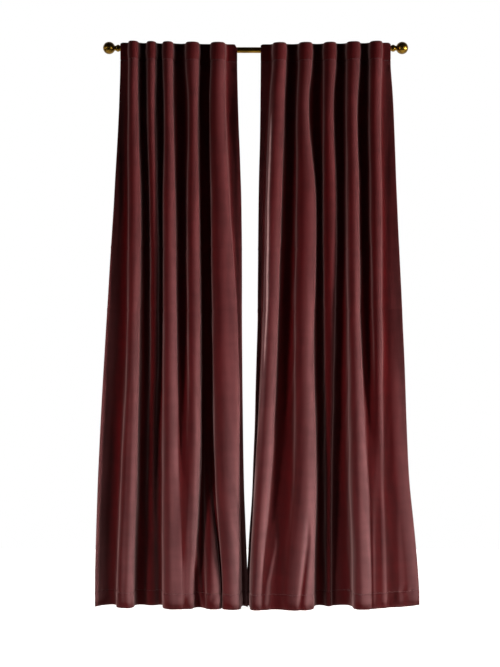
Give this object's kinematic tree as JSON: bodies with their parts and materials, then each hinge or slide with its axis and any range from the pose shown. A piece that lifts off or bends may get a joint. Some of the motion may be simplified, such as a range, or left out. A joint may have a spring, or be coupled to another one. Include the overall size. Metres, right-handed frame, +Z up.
{
  "type": "pair of blackout curtains on a curtain rod",
  "caption": "Floor-length velvet blackout curtains in deep vertical folds, hung by hidden back tabs from a slim brass rod with ball finials.",
  "frame": {"origin": "on the rod's axis at mid-span, half way between the two finials", "axes": "+Z up, +X along the rod to the right as seen from the room, +Y towards the wall, so the curtains face -Y"},
  "size_m": [1.408, 0.127, 2.4555],
  "materials": {
    "maroon_velvet": "dark maroon cotton velvet, short upright pile with a pale sheen where it turns away",
    "tab_cloth": "plain maroon cloth strip",
    "antique_brass": "antique brass, satin, darkened in the hollows"
  },
  "bodies": {
    "root": {"rod": "antique_brass", "finial_left": "antique_brass", "finial_right": "antique_brass", "panel_left": "maroon_velvet", "panel_right": "maroon_velvet", "tab_left_1": "tab_cloth", "tab_left_2": "tab_cloth", "tab_left_3": "tab_cloth", "tab_left_4": "tab_cloth", "tab_left_5": "tab_cloth", "tab_left_6": "tab_cloth", "tab_right_1": "tab_cloth", "tab_right_2": "tab_cloth", "tab_right_3": "tab_cloth", "tab_right_4": "tab_cloth", "tab_right_5": "tab_cloth", "tab_right_6": "tab_cloth"}
  },
  "joints": []
}
